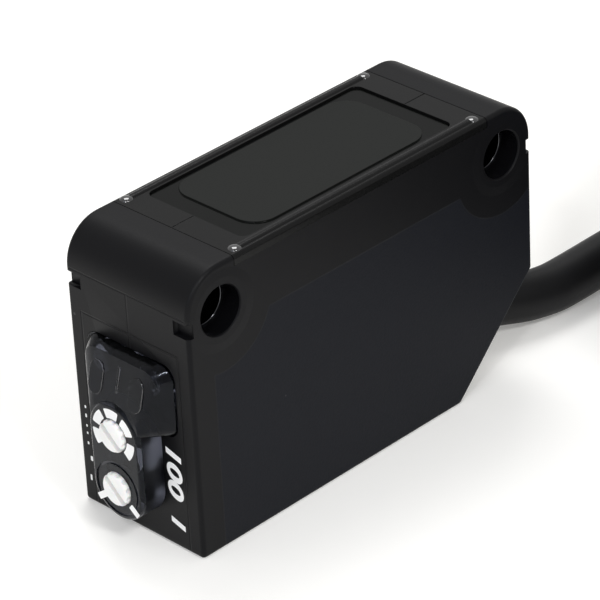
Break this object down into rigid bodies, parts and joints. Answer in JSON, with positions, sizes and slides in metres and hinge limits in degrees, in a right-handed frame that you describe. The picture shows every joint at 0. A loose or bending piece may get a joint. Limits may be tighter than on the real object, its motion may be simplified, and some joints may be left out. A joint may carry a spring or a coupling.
{
  "type": "photoelectric sensor",
  "caption": "Compact block photoelectric sensor with a dark lens window, cross mounting holes, clear adjuster cover with slotted knobs and a fixed cable.",
  "frame": {"origin": "on the back face, midway between the two mounting holes and on the mid-plane of the width", "axes": "+X along the length towards the cable end, +Y across the width, +Z out of the lens face"},
  "size_m": [0.091, 0.0656, 0.0201],
  "materials": {
    "case_plastic": "moulded, fine grain on the sides, satin elsewhere",
    "cover_plastic": "moulded, satin",
    "tinted_pane": "dark tinted acrylic, polished",
    "clear_plastic": "clear moulded plastic",
    "lens_plastic": "clear moulded lens",
    "white_plastic": "moulded white",
    "black_rubber": "moulded rubber",
    "black_plastic": "moulded black",
    "circuit_board": "green solder mask",
    "chip_package": "moulded epoxy",
    "ceramic": "sintered ceramic",
    "gold_pins": "gold plated",
    "tinned_sheet": "tinned sheet",
    "blue_plastic": "moulded blue",
    "orange_lamp": "tinted epoxy",
    "green_lamp": "tinted epoxy",
    "cable_jacket": "extruded black PVC",
    "core_brown": "extruded brown PVC",
    "core_blue": "extruded blue PVC",
    "core_black": "extruded black PVC",
    "copper_strands": "bare stranded copper",
    "tie_plastic": "moulded nylon"
  },
  "bodies": {
    "housing": {"case": "case_plastic", "front_cover": "cover_plastic", "window": "tinted_pane", "front_seal": "black_rubber", "optics_block": "black_plastic", "emitter_lens": "lens_plastic", "receiver_lens": "lens_plastic", "emitter_led": "orange_lamp", "receiver_photodiode": "chip_package", "receiver_shield": "tinned_sheet", "optics_board": "circuit_board", "main_board": "circuit_board", "signal_ic": "chip_package", "output_transistors": "chip_package", "chip_parts": "ceramic", "link_pins": "gold_pins", "adjuster_board": "circuit_board", "indicator_cover": "clear_plastic", "cover_seal": "black_rubber", "sensitivity_o_ring": "black_rubber", "mode_o_ring": "black_rubber", "trimmer_body": "blue_plastic", "switch_body": "black_plastic", "operation_led": "orange_lamp", "stability_led": "green_lamp", "light_guides": "lens_plastic", "cable_bush": "black_rubber", "brown_core": "core_brown", "blue_core": "core_blue", "black_core": "core_black", "core_strands": "copper_strands", "cable_lead": "cable_jacket", "cable_coil": "cable_jacket", "coil_tie": "tie_plastic"},
    "sensitivity_adjuster": {"sensitivity_knob": "white_plastic", "trimmer_rotor": "white_plastic"},
    "mode_selector": {"mode_knob": "white_plastic", "switch_rotor": "white_plastic"}
  },
  "joints": [
    {"name": "sensitivity_turn", "type": "hinge", "parent": "housing", "child": "sensitivity_adjuster", "pos_m": [-0.0155, 0, 0.0079], "axis": [-1, 0, 0], "range_deg": [-175, 65]},
    {"name": "mode_turn", "type": "hinge", "parent": "housing", "child": "mode_selector", "pos_m": [-0.0155, 0, 0.004], "axis": [-1, 0, 0], "range_deg": [0, 240]}
  ]
}
